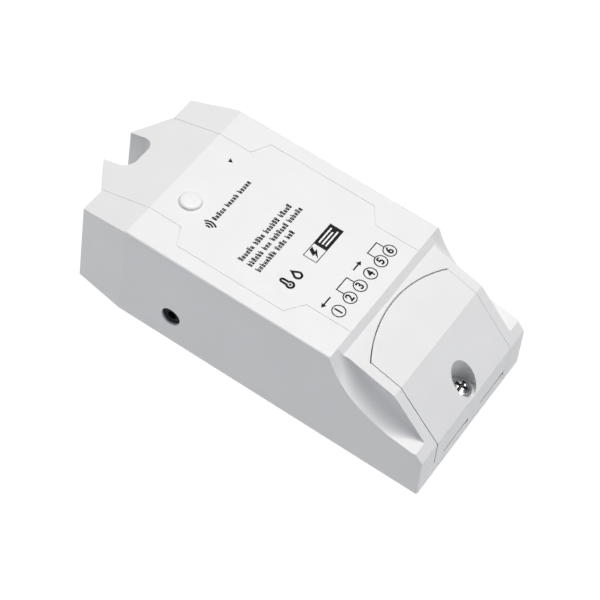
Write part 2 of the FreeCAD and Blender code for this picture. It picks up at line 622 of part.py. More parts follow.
def make_terminal_cover():
    outer = surface_line("0", "0") + [(front_at(LID_BOTTOM, "0"), LID_BOTTOM)]
    inner = [(front_at(LID_BOTTOM, "plate"), LID_BOTTOM)] + \
        list(reversed(surface_line("plate", "plate")))
    skin = side_prism("lid_skin", outer + inner, WIDTH)
    doc.recompute()
    brow = Vector(size("case_length") / 2 - size("front_draft"), 0, size("brow_height"))
    round_edges(skin, edges_at(skin.Shape, brow, Vector(0, 1, 0)), "brow_round")
    plate = common("lid_plate", skin, lid_plan("lid_plan", "lid_gap / 2", "0", "case_height + 5"))
    cup_side = side_prism("cup_side", outer + [(STEP_END, LID_BOTTOM)], WIDTH)
    cup = common("screw_cup", cup_side, rod(
        "cup_wall", (SCREW_X, "0", "cup_floor - cup_base"), "cup_radius + cup_wall", "case_height"))
    cup_room = rod("cup_room", (SCREW_X, "0", "cup_floor"), "cup_radius", "case_height")
    shank_hole = rod("cup_hole", (SCREW_X, "0", "0"), "screw_radius + thread_clearance",
                     "case_height")
    slots = []
    for name, middle in SLOTS:
        slots.append(box(name + "_cable_opening", (FRONT + " - nose_run / 2", FRONT + " + 1"),
                         (middle + " - cable_width / 2", middle + " + cable_width / 2"),
                         ("0", "cable_top")))
    return keep("terminal_cover", cut("terminal_cover", fuse("lid_whole", plate, cup), cup_room,
                                      shank_hole, *slots))


def make_cover_screw():
    """Pan head screw with a cross recess."""
    head = "cup_floor + screw_head_height"
    tip = "cup_floor - screw_reach"
    corners = [("0", tip), ("screw_radius / 2", tip), ("screw_radius", tip + " + screw_radius"),
               ("screw_radius", "cup_floor"), ("screw_head_radius", "cup_floor"),
               ("screw_head_radius", "cup_floor + screw_head_height * 0.4"),
               ("screw_head_radius * 0.8", "cup_floor + screw_head_height * 0.8"),
               ("screw_head_radius * 0.4", head), ("0", head)]
    blank = turned("cover_screw_blank", corners, SCREW_X, "0")
    arms = []
    for long_x in (True, False):
        half_long = "cross_length / 2"
        half_short = "cross_width / 2"
        half_x = half_long if long_x else half_short
        half_y = half_short if long_x else half_long
        arms.append(box("cross_arm", (SCREW_X + " - " + half_x, SCREW_X + " + " + half_x),
                        ("-" + half_y, half_y), (head + " - cross_depth", head + " + 1")))
    return keep("terminal_cover_screw", cut("terminal_cover_screw", blank, *arms))


# Power button, tact switch and status light

SWITCH_TOP = BOARD_TOP + " + switch_height"
PLUNGER_TOP = SWITCH_TOP + " + plunger_rise"


def make_button():
    """Domed cap on a skirt that runs in the cover's sleeve, with a stem to the switch."""
    skirt_top = INNER_TOP + " - button_rest_gap"
    skirt_low = skirt_top + " - button_skirt_height"
    stem_low = PLUNGER_TOP + " + contact_gap"
    top = "case_height + button_rise"
    corners = [("0", stem_low), ("stem_radius", stem_low), ("stem_radius", skirt_low),
               ("button_skirt", skirt_low), ("button_skirt", skirt_top),
               ("button_radius", skirt_top), ("button_radius", top + " - button_dome"),
               ("button_radius * 0.97", top + " - button_dome * 0.6"),
               ("button_radius * 0.9", top + " - button_dome * 0.27"),
               ("button_radius * 0.8", top + " - button_dome * 0.1"),
               ("button_radius * 0.65", top + " - button_dome * 0.03"), ("0", top)]
    return keep("power_button", turned("power_button", corners, BUTTON_X, "button_side"))


def make_tact_switch():
    half = "switch_side / 2"
    block = box("switch_block", (BUTTON_X + " - " + half, BUTTON_X + " + " + half),
                ("button_side - " + half, "button_side + " + half), (BOARD_TOP, SWITCH_TOP))
    well = rod("switch_well", (BUTTON_X, "button_side",
                               SWITCH_TOP + " - plunger_depth - button_travel - plunger_gap"),
               "plunger_radius + plunger_gap", "switch_height")
    keep("tact_switch_body", cut("tact_switch_body", block, well))
    plunger = rod("tact_switch_plunger", (BUTTON_X, "button_side", SWITCH_TOP + " - plunger_depth"),
                  "plunger_radius", "plunger_depth + plunger_rise")
    keep("tact_switch_plunger", plunger)


def make_status_light():
    led = box("status_led", (LIGHT_X + " - led_length / 2", LIGHT_X + " + led_length / 2"),
              ("light_side - led_width / 2", "light_side + led_width / 2"),
              (BOARD_TOP, BOARD_TOP + " + led_height"))
    keep("status_led", led)
    low = BOARD_TOP + " + led_height"
    pipe = rod("light_pipe", (LIGHT_X, "light_side", low), "pipe_radius",
               "case_height - pipe_skin - (%s)" % low)
    keep("light_pipe", pipe)


# Sensor socket

def make_sensor_socket():
    x = TIP + " + socket_back"
    face = "-" + HALF + " + wall + socket_face"
    nose = "-" + HALF + " + socket_inset"
    block = box("socket_block", (x + " - socket_width / 2", x + " + socket_width / 2"),
                (face, face + " + socket_body"), (BOARD_TOP, BOARD_TOP + " + socket_tall"))
    ring = rod("socket_ring", (x, nose, "socket_height"), "socket_nose",
               "wall + socket_face - socket_inset + 1", "y")
    bore = rod("socket_bore_tool", (x, nose + " - 1", "socket_height"), "socket_bore",
               "socket_depth + 1", "y")
    keep("sensor_jack_housing", cut("sensor_jack_housing", fuse("socket_solid", block, ring), bore))
    tabs = []
    for number, part in enumerate(("0.2", "0.45", "0.7")):
        for sign in ("-", "+"):
            y = face + " + socket_body * " + part
            low = x + " + socket_width / 2"
            high = low + " + tab_length"
            if sign == "-":
                low, high = x + " - socket_width / 2 - tab_length", x + " - socket_width / 2"
            tabs.append(box("socket_tab", (low, high), (y, y + " + tab_width"),
                            (BOARD_TOP, BOARD_TOP + " + tab_wall")))
    keep("sensor_jack_contacts", fuse("sensor_jack_contacts", *tabs))


# Terminal block with six wire entries and push tabs

BLOCK_FRONT = FRONT + " - block_front"
BLOCK_BACK = BLOCK_FRONT + " - block_length"
ENTRY_Z = BOARD_TOP + " + wire_height"
CHAMBER_BACK = BLOCK_BACK + " + chamber_wall"
PUSH_FRONT = BLOCK_FRONT + " - chamber_wall"
PUSH_LOW = BOARD_TOP + " + block_height + push_rise - push_height"
LANES = ["(%.1f * pitch)" % (number - 2.5) for number in range(6)]


def make_terminal_block():
    top = BOARD_TOP + " + block_height"
    block = box("terminal_block_solid", (BLOCK_BACK, BLOCK_FRONT),
                ("-(3 * pitch + block_margin)", "3 * pitch + block_margin"), (BOARD_TOP, top))
    rooms = []
    strips = []
    leaves = []
    for number, lane in enumerate(LANES, start=1):
        rooms.append(rod("wire_entry", (CHAMBER_BACK + " + 1", lane, ENTRY_Z), "wire_radius",
                         "block_length", "x"))
        rooms.append(box("clamp_chamber", (CHAMBER_BACK, CHAMBER_BACK + " + chamber_length"),
                         (lane + " - chamber_width / 2", lane + " + chamber_width / 2"),
                         (BOARD_TOP + " + chamber_wall", top + " - chamber_wall")))
        rooms.append(box("push_room", (PUSH_FRONT + " - push_length - 2 * push_gap", PUSH_FRONT),
                         (lane + " - push_width / 2 - push_gap", lane + " + push_width / 2 + push_gap"),
                         (PUSH_LOW + " - push_travel - push_gap", top + " + 1")))
        rooms.append(box("pin_room", (CHAMBER_BACK, CHAMBER_BACK + " + pin_side"),
                         (lane + " - pin_side / 2", lane + " + pin_side / 2"),
                         (BOARD_TOP + " - 1", BOARD_TOP + " + chamber_wall + 1")))
        low = BOARD_TOP + " + chamber_wall"
        half = "strip_width / 2"
        width = (lane + " - " + half, lane + " + " + half)
        foot = box("strip_foot", (CHAMBER_BACK, CHAMBER_BACK + " + chamber_length - push_gap"),
                   width, (low, low + " + strip_wall"))
        upright = box("strip_upright", (CHAMBER_BACK, CHAMBER_BACK + " + strip_wall"), width,
                      (low, low + " + strip_rise"))
        pin = box("strip_pin", (CHAMBER_BACK, CHAMBER_BACK + " + pin_side"),
                  (lane + " - pin_side / 2", lane + " + pin_side / 2"),
                  ("board_height - pin_reach", low + " + strip_wall / 2"))
        strips.append(fuse("contact_%d" % number, foot, upright, pin))
        leaf_x = CHAMBER_BACK + " + strip_wall"
        head = low + " + strip_rise"
        leaf = new_body("leaf_%d" % number)
        line = [(leaf_x, head), (leaf_x, head + " - leaf_wall * 2"),
                (leaf_x + " + leaf_reach - leaf_wall", low + " + strip_wall + wire_radius"),
                (leaf_x + " + leaf_reach", low + " + strip_wall + wire_radius")]
        sketch = outline_sketch(leaf, "leaf_side", "XZ_Plane", line, "-(%s)" % lane)
        pad(leaf, sketch, "strip_width", True)
        leaves.append(leaf)
    keep("terminal_block_housing", cut("terminal_block_housing", block, *rooms))
    keep("clamp_contacts", fuse("clamp_contacts", *strips))
    keep("clamp_springs", fuse("clamp_springs", *leaves))
    for number, lane in enumerate(LANES, start=1):
        back = PUSH_FRONT + " - push_length - push_gap"
        tab = box("push_tab", (back, back + " + push_length"),
                  (lane + " - push_width / 2", lane + " + push_width / 2"),
                  (PUSH_LOW, PUSH_LOW + " + push_height"))
        middle = back + " + push_length / 2"
        groove = box("push_groove", (middle + " - push_groove / 2", middle + " + push_groove / 2"),
                     (lane + " - push_width", lane + " + push_width"),
                     (PUSH_LOW + " + push_height - push_groove / 2",
                      PUSH_LOW + " + push_height + 1"))
        name = "terminal_push_%d" % number
        keep(name, cut(name, tab, groove))


# Circuit board with its screws

BOARD_SPOTS = [(x, sign + "(%s - post_inset)" % BOARD_HALF)
               for x in (TIP + " + board_start + post_inset", FRONT + " - post_far")
               for sign in ("-", "")]


def make_board():
    start = TIP + " + board_start"
    end = FRONT + " - board_end"
    plan = mirrored([(start, BOARD_HALF + " - board_corner"),
                     (start + " + board_corner", BOARD_HALF), (end, BOARD_HALF)])
    board = plan_prism("board_blank", plan, "board_height", BOARD_TOP)
    holes = [rod("board_hole", (x, y, "board_height - 1"), "board_screw_radius + thread_clearance",
                 "board_wall + 2") for x, y in BOARD_SPOTS]
    for lane in LANES:
        holes.append(rod("terminal_pin_hole", (CHAMBER_BACK + " + pin_side / 2", lane,
                                               "board_height - 1"), "pin_hole", "board_wall + 2"))
    keep("circuit_board", cut("circuit_board", board, *holes))
    screws = []
    for number, (x, y) in enumerate(BOARD_SPOTS, start=1):
        low = BOARD_TOP + " - board_screw_length"
        corners = [("0", low), ("board_screw_radius / 2", low),
                   ("board_screw_radius", low + " + board_screw_radius"),
                   ("board_screw_radius", BOARD_TOP), ("board_head_radius", BOARD_TOP),
                   ("board_head_radius", BOARD_TOP + " + board_head_height * 0.6"),
                   ("board_head_radius * 0.7", BOARD_TOP + " + board_head_height"),
                   ("0", BOARD_TOP + " + board_head_height")]
        screws.append(turned("board_screw_%d" % number, corners, x, y))
    keep("board_screws", fuse("board_screws", *screws))


# Components on the board. Each place is measured from the nearer end of the case.

def block_on_board(name, start, side, length, width, height):
    """Block that stands on the board, from a start X and centred on a Y."""
    return box(name, (start, start + " + " + length),
               ("%s - %s / 2" % (side, width), "%s + %s / 2" % (side, width)),
               (BOARD_TOP, BOARD_TOP + " + " + height))


def before_front(distance, length):
    """Start X of a component whose +X face is at a distance from the cable end."""
    return "%s - %s - %s" % (FRONT, distance, length)


def can_on_board(name, front, side, radius, height):
    """Round can with a rolled groove near its foot."""
    groove = "can_round"
    corners = [("0", BOARD_TOP), (radius, BOARD_TOP), (radius, BOARD_TOP + " + 2 * " + groove),
               (radius + " - " + groove, BOARD_TOP + " + 3 * " + groove),
               (radius, BOARD_TOP + " + 4 * " + groove),
               (radius, "%s + %s - %s" % (BOARD_TOP, height, groove)),
               (radius + " - " + groove, BOARD_TOP + " + " + height),
               ("0", BOARD_TOP + " + " + height)]
    return turned(name, corners, "%s - (%s)" % (FRONT, front), side)


def chip(name, start, side):
    """Small chip with four leads on each long side."""
    body = block_on_board(name + "_block", start, side, "chip_length", "chip_width", "chip_height")
    leads = []
    for step in range(4):
        x = start + " + chip_length / 2 + %.1f * lead_pitch" % (step - 1.5)
        leads.append(box(name + "_lead", (x + " - lead_width / 2", x + " + lead_width / 2"),
                         (side + " - chip_width / 2 - lead_length",
                          side + " + chip_width / 2 + lead_length"),
                         (BOARD_TOP, BOARD_TOP + " + tab_wall")))
    return keep(name, fuse(name, body, *leads))


def make_components():
    for name, length, width, height in (
            ("relay", "relay_length", "relay_width", "relay_height"),
            ("filter_capacitor", "filter_length", "filter_width", "filter_height"),
            ("fuse", "fuse_length", "fuse_width", "fuse_height"),
            ("bridge_rectifier", "bridge_length", "bridge_width", "bridge_height")):
        short = name.split("_")[0]
        start = before_front(short + "_front", length)
        keep(name, block_on_board(name, start, short + "_side", length, width, height))

    far = FRONT + " - core_front"
    low = BOARD_TOP + " + base_lift"
    core = block_on_board("core_block", before_front("core_front", "core_length"), "core_side",
                          "core_length", "core_depth", "core_height")
    window = box("core_window", (far + " - core_length + core_leg", far + " - core_leg"),
                 ("core_side - core_depth", "core_side + core_depth"),
                 ("%s - 1" % BOARD_TOP, BOARD_TOP + " + core_height - core_leg"))
    keep("transformer_core", cut("transformer_core", core, window))
    foot = box("bobbin_foot", (far + " - core_length + core_leg", far + " - core_leg"),
               ("core_side - core_width / 2", "core_side + core_width / 2"), (BOARD_TOP, low))
    winding = box("bobbin_winding", (far + " - core_length + core_leg", far + " - core_leg"),
                  ("core_side - core_width / 2 + coil_round",
                   "core_side + core_width / 2 - coil_round"),
                  (low, BOARD_TOP + " + core_height - core_leg"))
    keep("transformer_bobbin", foot)
    keep("transformer_winding", winding)

    cans = [can_on_board("bulk_can_%d" % number, "bulk_front + %d * bulk_pitch" % number,
                         "bulk_side", "bulk_radius", "bulk_height") for number in range(2)]
    keep("bulk_capacitors", fuse("bulk_capacitors", *cans))
    keep("output_capacitor", can_on_board("output_capacitor", "output_front", "output_side",
                                          "output_radius", "output_height"))

    disc_low = BOARD_TOP + " + varistor_lift"
    x = FRONT + " - varistor_front"
    disc = rod("varistor_disc", (x + " - varistor_wall", "varistor_side",
                                 disc_low + " + varistor_radius"), "varistor_radius",
               "varistor_wall", "x")
    legs = [rod("varistor_leg", (x + " - varistor_wall / 2", "varistor_side " + sign
                                 + " varistor_radius / 2", BOARD_TOP), "lead_radius",
                "varistor_lift + varistor_radius") for sign in ("-", "+")]
    keep("varistor", fuse("varistor", disc, *legs))
    flange = "inductor_flange"
    high = BOARD_TOP + " + inductor_height"
    drum = [("0", BOARD_TOP), ("inductor_radius", BOARD_TOP),
            ("inductor_radius", BOARD_TOP + " + " + flange),
            ("inductor_waist", BOARD_TOP + " + " + flange),
            ("inductor_waist", high + " - " + flange), ("inductor_radius", high + " - " + flange),
            ("inductor_radius", high), ("0", high)]
    keep("inductor", turned("inductor", drum, FRONT + " - inductor_front", "inductor_side"))
    chip("power_driver_chip", before_front("driver_front", "chip_length"), "driver_side")
    chip("memory_chip", TIP + " + flash_back", "flash_side")
    keep("radio_chip", block_on_board("radio_chip", TIP + " + radio_back", "radio_place",
                                      "radio_side", "radio_side", "radio_height"))
    keep("voltage_regulator", block_on_board("voltage_regulator", TIP + " + regulator_back",
                                             "regulator_side", "regulator_length",
                                             "regulator_width", "regulator_height"))
    keep("crystal", block_on_board("crystal", TIP + " + crystal_back", "crystal_side",
                                   "crystal_length", "crystal_width", "crystal_height"))


make_base_case()
make_top_cover()
make_terminal_cover()
make_cover_screw()
make_button()
make_tact_switch()
make_status_light()
make_sensor_socket()
make_terminal_block()
make_board()
make_components()
doc.recompute()

failed = [item.Name for item in doc.Objects if "Invalid" in item.State or "Error" in item.State]
if failed:
    raise RuntimeError("failed features: " + ", ".join(failed))
for item in parts:
    if item.Shape.isNull() or not item.Shape.isValid() or not item.Shape.Solids:
        raise RuntimeError("bad solid: " + item.Label)
os.makedirs("parts", exist_ok=True)
for item in parts:
    item.Shape.exportStep("parts/%s.step" % item.Label)
    bounds = item.Shape.optimalBoundingBox(False)
    print("%-24s solids %d volume %9.1f  x %.2f..%.2f y %.2f..%.2f z %.2f..%.2f" % (
        item.Label, len(item.Shape.Solids), item.Shape.Volume, bounds.XMin, bounds.XMax,
        bounds.YMin, bounds.YMax, bounds.ZMin, bounds.ZMax))
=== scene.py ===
import json
import math
import random

import bmesh
import bpy
from mathutils import Matrix, Vector


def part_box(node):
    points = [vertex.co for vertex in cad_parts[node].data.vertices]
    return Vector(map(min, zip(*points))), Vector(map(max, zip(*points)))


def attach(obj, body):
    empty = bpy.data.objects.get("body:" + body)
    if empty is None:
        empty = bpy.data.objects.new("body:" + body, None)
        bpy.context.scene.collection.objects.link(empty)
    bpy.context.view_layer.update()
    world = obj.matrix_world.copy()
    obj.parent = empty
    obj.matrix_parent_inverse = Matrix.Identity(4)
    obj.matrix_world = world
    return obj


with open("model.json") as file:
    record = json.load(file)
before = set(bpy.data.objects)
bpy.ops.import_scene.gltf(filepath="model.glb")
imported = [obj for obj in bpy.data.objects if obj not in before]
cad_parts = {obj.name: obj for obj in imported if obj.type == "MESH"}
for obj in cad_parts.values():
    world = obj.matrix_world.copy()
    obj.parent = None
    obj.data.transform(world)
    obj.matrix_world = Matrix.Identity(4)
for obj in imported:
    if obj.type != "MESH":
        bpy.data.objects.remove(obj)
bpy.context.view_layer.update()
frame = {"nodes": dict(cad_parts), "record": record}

# White in-line temperature and humidity controller. Lengths are metres, or millimetres times MM.
MM = 0.001
nodes = frame["nodes"]
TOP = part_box("top_cover")[1].z

# Camera, as the photograph stands: it looks down at the top from the near right.
CAMERA_PLACE = (0.134346, -0.295659, 0.44313)
AZIMUTH = 23.933
ELEVATION = 53.3241
ROLL = 11.8529
LENS = 124.4388
SENSOR = 36.0
CLIP_START = 0.01


def add_camera():
    data = bpy.data.cameras.new("camera")
    data.lens = LENS
    data.sensor_width = SENSOR
    data.clip_start = CLIP_START
    camera = bpy.data.objects.new("camera", data)
    bpy.context.scene.collection.objects.link(camera)
    turn = Matrix.Rotation(math.radians(AZIMUTH), 4, "Z")
    tilt = Matrix.Rotation(math.radians(90.0 - ELEVATION), 4, "X")
    roll = Matrix.Rotation(math.radians(ROLL), 4, "Z")
    camera.matrix_world = Matrix.Translation(CAMERA_PLACE) @ turn @ tilt @ roll
    bpy.context.scene.camera = camera


# Finishes

# Where most of a noise's factors lie, and the metres from band to band in a wave texture of scale 1.
NOISE_SPAN = (0.3, 0.7)
BAND_SPACING = 0.314


class Finish:
    """A node material under way: its main shader, its links and the surface's own place in metres."""

    def __init__(self, name, colour, roughness, **levels):
        self.material = bpy.data.materials.new(name)
        self.material.use_nodes = True
        self.nodes = self.material.node_tree.nodes
        self.links = self.material.node_tree.links
        self.shader = self.nodes["Principled BSDF"]
        self.place = self.nodes.new("ShaderNodeTexCoord").outputs["Object"]
        self.normal = None
        self.colour = colour
        self.level("Base Color", (*colour, 1.0))
        self.level("Roughness", roughness)
        for socket, value in levels.items():
            self.level(socket.replace("_", " "), value)

    def level(self, socket, value):
        self.shader.inputs[socket].default_value = value

    def stretched(self, stretch):
        """The place with each axis scaled: a pattern runs long along an axis whose scale is below 1."""
        mapping = self.nodes.new("ShaderNodeMapping")
        mapping.inputs["Scale"].default_value = stretch
        self.links.new(self.place, mapping.inputs["Vector"])
        return mapping.outputs["Vector"]

    def noise(self, size, detail=3.0, stretch=None):
        """Soft noise whose blotches are about size millimetres across."""
        node = self.nodes.new("ShaderNodeTexNoise")
        node.inputs["Scale"].default_value = 1.0 / (size * MM)
        node.inputs["Detail"].default_value = detail
        self.links.new(self.stretched(stretch) if stretch else self.place, node.inputs["Vector"])
        return node.outputs["Fac"]

    def bands(self, size, distortion):
        """Bands one above the other, size millimetres apart."""
        node = self.nodes.new("ShaderNodeTexWave")
        node.bands_direction = "Z"
        node.inputs["Scale"].default_value = BAND_SPACING / (size * MM)
        node.inputs["Distortion"].default_value = distortion
        self.links.new(self.place, node.inputs["Vector"])
        return node.outputs["Fac"]

    def cells(self, size):
        """The distance to the edges of cells that are about size millimetres across."""
        node = self.nodes.new("ShaderNodeTexVoronoi")
        node.feature = "DISTANCE_TO_EDGE"
        node.inputs["Scale"].default_value = 1.0 / (size * MM)
        self.links.new(self.place, node.inputs["Vector"])
        return node.outputs["Distance"]

    def tint(self, factor, low, high, span=NOISE_SPAN):
        """The surface's colour runs from low to high while the factor crosses its span."""
        node = self.nodes.new("ShaderNodeValToRGB")
        for element, value, colour in zip(node.color_ramp.elements, span, (low, high)):
            element.position = value
            element.color = (*colour, 1.0)
        self.links.new(factor, node.inputs["Fac"])
        self.links.new(node.outputs["Color"], self.shader.inputs["Base Color"])

    def mottle(self, size, amount):
        """Slight patches of a darker and a lighter shade of the colour."""
        low = [c * (1.0 - amount) for c in self.colour]
        high = [min(1.0, c * (1.0 + 0.4 * amount)) for c in self.colour]
        self.tint(self.noise(size), low, high)

    def gloss(self, factor, low, high):
        """The roughness runs from low to high while a noise's factor crosses its span."""
        node = self.nodes.new("ShaderNodeMapRange")
        for socket, value in zip(("From Min", "From Max", "To Min", "To Max"), (*NOISE_SPAN, low, high)):
            node.inputs[socket].default_value = value
        self.links.new(factor, node.inputs["Value"])
        self.links.new(node.outputs["Result"], self.shader.inputs["Roughness"])

    def relief(self, factor, depth, strength):
        """Adds one layer of bump, depth millimetres high, over those before it."""
        node = self.nodes.new("ShaderNodeBump")
        node.inputs["Distance"].default_value = depth * MM
        node.inputs["Strength"].default_value = strength
        self.links.new(factor, node.inputs["Height"])
        if self.normal:
            self.links.new(self.normal, node.inputs["Normal"])
        self.normal = node.outputs["Normal"]
        self.links.new(self.normal, self.shader.inputs["Normal"])


def moulded(name, colour, roughness, grain=0.35, depth=0.004, patches=0.02, **levels):
    """Moulded plastic with a fine spark-eroded grain."""
    finish = Finish(name, colour, roughness, **levels)
    finish.mottle(14.0, patches)
    finish.gloss(finish.noise(2.5), roughness - 0.05, roughness + 0.05)
    finish.relief(finish.noise(grain, detail=2.0), depth, strength=0.6)
    finish.relief(finish.noise(9.0, detail=1.0), 0.02, strength=0.25)
    return finish.material


def metal(name, colour, roughness, stretch=None):
    """Metal, a little uneven, with a fine grain that a stretch draws out into lines."""
    finish = Finish(name, colour, roughness, Metallic=1.0)
    finish.relief(finish.noise(0.9), 0.05, strength=0.6)
    finish.mottle(3.0, 0.12)
    finish.gloss(finish.noise(0.6, stretch=stretch), roughness * 0.7, roughness * 1.3)
    finish.relief(finish.noise(0.15, detail=2.0, stretch=stretch), 0.002, strength=0.5)
    return finish.material


def board(name):
    """Solder mask over copper: paler lanes where the tracks run under it."""
    mask = (0.012, 0.11, 0.045)
    track = (0.03, 0.2, 0.075)
    finish = Finish(name, mask, 0.3, Coat_Weight=0.3)
    lanes = finish.cells(2.6)
    finish.tint(lanes, track, mask, span=(0.04, 0.07))
    finish.relief(lanes, 0.02, strength=0.3)
    finish.gloss(finish.noise(1.2), 0.24, 0.38)
    return finish.material


def taped(name, colour):
    """Polyester tape wound in even turns."""
    finish = Finish(name, colour, 0.32, Coat_Weight=0.2)
    turns = finish.bands(1.1, distortion=1.5)
    finish.tint(turns, [c * 0.82 for c in colour], colour, span=(0.1, 0.5))
    finish.relief(turns, 0.03, strength=0.5)
    return finish.material


def lens(name):
    """Clear moulded plastic, a little cloudy."""
    finish = Finish(name, (0.9, 0.93, 0.91), 0.18, Transmission_Weight=0.85, IOR=1.49)
    finish.gloss(finish.noise(0.8), 0.12, 0.26)
    finish.relief(finish.noise(0.5), 0.004, strength=0.4)
    return finish.material


def ink(name, colour):
    """Pad-printed ink: thin, slightly uneven and matt."""
    finish = Finish(name, colour, 0.6, Specular_IOR_Level=0.12)
    low = [c * 0.8 for c in colour]
    high = [min(1.0, c * 1.25 + 0.004) for c in colour]
    finish.tint(finish.noise(0.25), low, high)
    finish.gloss(finish.noise(0.6), 0.54, 0.66)
    finish.relief(finish.noise(0.2), 0.003, strength=0.4)
    return finish.material


WHITE = (0.75, 0.75, 0.755)
finishes = {
    "case_white": moulded("case_white", WHITE, 0.46),
    "cover_white": moulded("cover_white", WHITE, 0.46),
    "lid_white": moulded("lid_white", WHITE, 0.46),
    "button_white": moulded("button_white", (0.76, 0.76, 0.762), 0.38, grain=0.5, depth=0.002),
    "screw_steel": metal("screw_steel", (0.66, 0.66, 0.66), 0.16),
    "black_plastic": moulded("black_plastic", (0.009, 0.009, 0.01), 0.6, patches=0.15,
                             Specular_IOR_Level=0.12),
    "lens_clear": lens("lens_clear"),
    "tinned_metal": metal("tinned_metal", (0.74, 0.73, 0.70), 0.28),
    "spring_steel": metal("spring_steel", (0.58, 0.58, 0.57), 0.3, stretch=(1.0, 1.0, 0.15)),
    "terminal_grey": moulded("terminal_grey", (0.34, 0.35, 0.36), 0.5, patches=0.05),
    "push_white": moulded("push_white", (0.72, 0.72, 0.69), 0.44),
    "board_green": board("board_green"),
    "relay_black": moulded("relay_black", (0.024, 0.024, 0.028), 0.36, grain=0.6, patches=0.12),
    "ferrite": moulded("ferrite", (0.05, 0.05, 0.052), 0.62, grain=0.5, depth=0.02, patches=0.25),
    "tape_yellow": taped("tape_yellow", (0.72, 0.46, 0.04)),
    "can_sleeve": moulded("can_sleeve", (0.016, 0.022, 0.055), 0.25, patches=0.1, Coat_Weight=0.5),
    "disc_blue": moulded("disc_blue", (0.02, 0.09, 0.36), 0.22, grain=1.2, depth=0.02, Coat_Weight=0.4),
    "box_yellow": moulded("box_yellow", (0.70, 0.50, 0.06), 0.3, Coat_Weight=0.2),
    "fuse_brown": moulded("fuse_brown", (0.12, 0.045, 0.025), 0.4, patches=0.1),
}
BLACK_INK = ink("black_ink", (0.006, 0.006, 0.007))
WHITE_INK = ink("white_ink", (0.82, 0.82, 0.82))
# Painted shade: a dark steel that fills the screw's cross recess in place of its shadow.
PAINTED_SHADE_STEEL = metal("painted_shade_steel", (0.035, 0.035, 0.037), 0.5)


def dress_nodes():
    for part in frame["record"]["subparts"]:
        nodes[part["node"]].material_slots[0].material = finishes[part["material_slot"]]


# Printed marks on the top. They read along +Y, with their tops towards -X: a point (across, up) of
# a mark whose corner is at (x, y) lies at (x - up, y + across).
INK_HEIGHT = 0.02
INK_SINK = 0.03
LINE = 0.3
MITRE_LIMIT = 0.3


class Print:
    """One printed piece: flat shapes in millimetres, standing a hair proud of the top face."""

    def __init__(self, x, y, height=INK_HEIGHT):
        self.mesh = bmesh.new()
        self.corner = (x, y)
        self.levels = (TOP - INK_SINK * MM, TOP + height * MM)

    def vert(self, point, level):
        across, up = point
        x, y = self.corner
        return self.mesh.verts.new(((x - up) * MM, (y + across) * MM, self.levels[level]))

    def plate(self, outline):
        """A filled shape, its outline running counter-clockwise."""
        low = [self.vert(point, 0) for point in outline]
        high = [self.vert(point, 1) for point in outline]
        self.mesh.faces.new(low[::-1])
        self.mesh.faces.new(high)
        for n in range(len(outline)):
            self.mesh.faces.new((low[n - 1], low[n], high[n], high[n - 1]))

    def bar(self, across, up, wide, tall):
        """A filled rectangle from its lower left corner."""
        self.plate([(across, up), (across + wide, up), (across + wide, up + tall), (across, up + tall)])

    def ribbon(self, path, width=LINE, closed=False):
        """A line of even width along a path, its corners mitred."""
        points = [Vector(point) for point in path]
        count = len(points)
        sections = []
        for n, point in enumerate(points):
            before = points[n - 1] if closed or n else None
            after = points[(n + 1) % count] if closed or n < count - 1 else None
            come = (point - before).normalized() if before else (after - point).normalized()
            go = (after - point).normalized() if after else come
            side = Vector((-(come.y + go.y), come.x + go.x)).normalized()
            reach = 0.5 * width / max(MITRE_LIMIT, side.dot(Vector((-come.y, come.x))))
            left = point + side * reach
            right = point - side * reach
            corners = ((left, 1), (right, 1), (right, 0), (left, 0))
            sections.append([self.vert(place, level) for place, level in corners])
        last = count if closed else count - 1
        for n in range(last):
            here = sections[n]
            there = sections[(n + 1) % count]
            for k in range(4):
                j = (k + 1) % 4
                self.mesh.faces.new((here[k], there[k], there[j], here[j]))
        if not closed:
            self.mesh.faces.new(sections[0])
            self.mesh.faces.new(sections[-1][::-1])

    def piece(self, name, material=None, slot="black_plastic"):
        bmesh.ops.recalc_face_normals(self.mesh, faces=self.mesh.faces)
        data = bpy.data.meshes.new(name)
        self.mesh.to_mesh(data)
        self.mesh.free()
        add_piece(name, data, material or BLACK_INK, "case")


def add_piece(name, data, material, body):
    obj = bpy.data.objects.new(name, data)
    bpy.context.scene.collection.objects.link(obj)
    data.materials.append(material)
    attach(obj, body)


def arc(centre, radius, start, end, steps=16):
    """Points along an arc, its angles in degrees from the reading direction."""
    points = []
    for n in range(steps + 1):
        angle = math.radians(start + (end - start) * n / steps)
        points.append((centre[0] + radius * math.cos(angle), centre[1] + radius * math.sin(angle)))
    return points


def circle(centre, radius, steps=48):
    return arc(centre, radius, 0.0, 360.0 - 360.0 / steps, steps - 1)


LETTER_PITCH = 0.98
LETTER_WIDE = 0.71
STROKE = 0.31
LOW_LETTER = 0.7
WORD_GAP = 0.75
STROKE_SETS = (("left", "right", "top"), ("left", "right", "foot"), ("left", "right", "top", "foot"),
               ("left", "right", "top", "middle"), ("left", "right", "middle"))


def greeked(mark, draw, up, letters, tall, tall_share):
    """A row like small print: each letter is a few strokes drawn by lot, and each number in letters is
    a word's count of them. A word starts tall, and a share of its other letters is tall too."""
    low = tall * LOW_LETTER
    levels = {"top": low - STROKE, "middle": 0.5 * (low - STROKE), "foot": 0.0}
    across = 0.0
    for count in letters:
        for n in range(count):
            high = tall if n == 0 or draw.random() < tall_share else low
            strokes = draw.choice(STROKE_SETS)
            mark.bar(across, up, STROKE, high)
            if "right" in strokes:
                mark.bar(across + LETTER_WIDE - STROKE, up, STROKE, draw.choice((low, high)))
            for stroke in strokes:
                if stroke in levels:
                    mark.bar(across + STROKE, up + levels[stroke], LETTER_WIDE - 2 * STROKE, STROKE)
            across += LETTER_PITCH
        across += LETTER_PITCH * WORD_GAP


